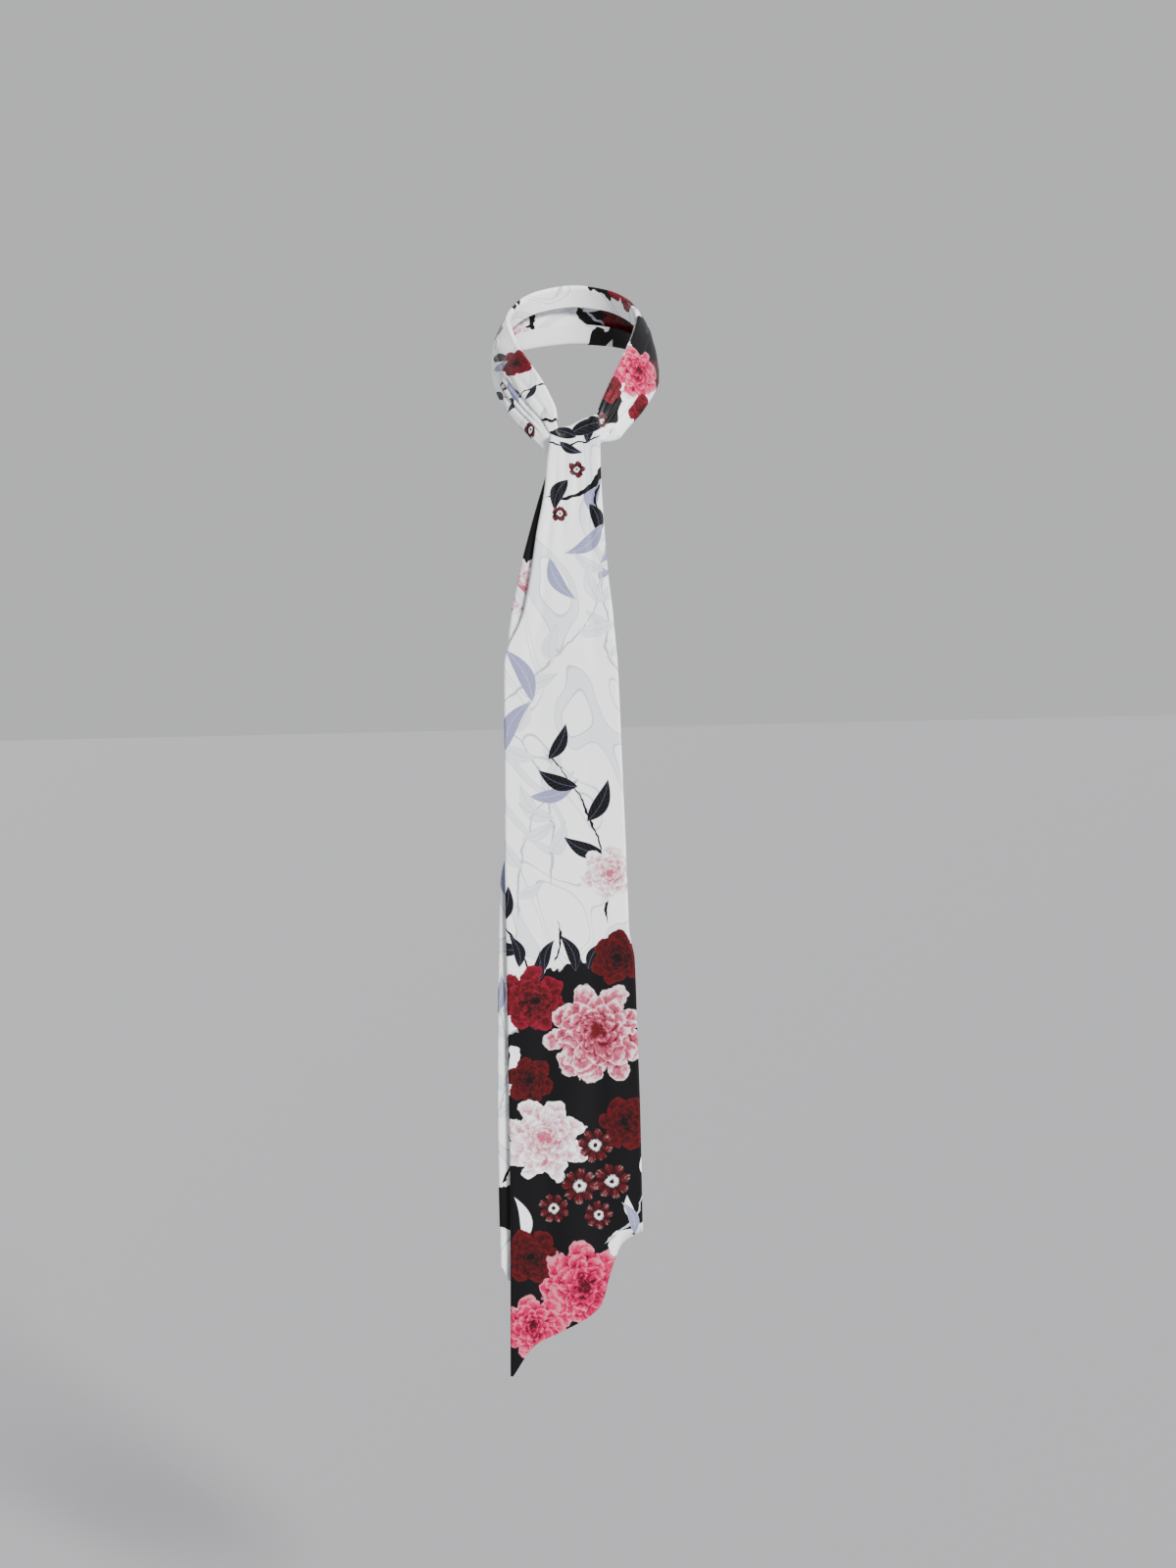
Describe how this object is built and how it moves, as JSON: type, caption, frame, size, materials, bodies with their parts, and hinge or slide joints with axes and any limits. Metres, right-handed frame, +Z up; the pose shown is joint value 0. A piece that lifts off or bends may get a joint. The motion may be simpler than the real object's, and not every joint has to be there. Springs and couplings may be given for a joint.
{
  "type": "satin stole",
  "caption": "Narrow doubled satin stole tied ascot style round an empty neck opening, its slanted tails hanging one over the other.",
  "frame": {"origin": "middle of the neck opening, where a wearer's neck holds the stole up", "axes": "+Z up along the neck and the hanging tails, +Y behind the wearer, +X to the right for someone facing the wearer"},
  "size_m": [0.1781, 0.2129, 1.0862],
  "materials": {
    "front_tail_satin": "smooth printed satin",
    "back_tail_satin": "smooth printed satin",
    "knot_wrap_satin": "smooth printed satin",
    "neck_left_satin": "smooth printed satin",
    "neck_back_satin": "smooth printed satin",
    "neck_right_satin": "smooth printed satin"
  },
  "bodies": {
    "root": {"front_tail": "front_tail_satin", "back_tail": "back_tail_satin", "knot_wrap": "knot_wrap_satin", "neck_left": "neck_left_satin", "neck_back": "neck_back_satin", "neck_right": "neck_right_satin"}
  },
  "joints": []
}
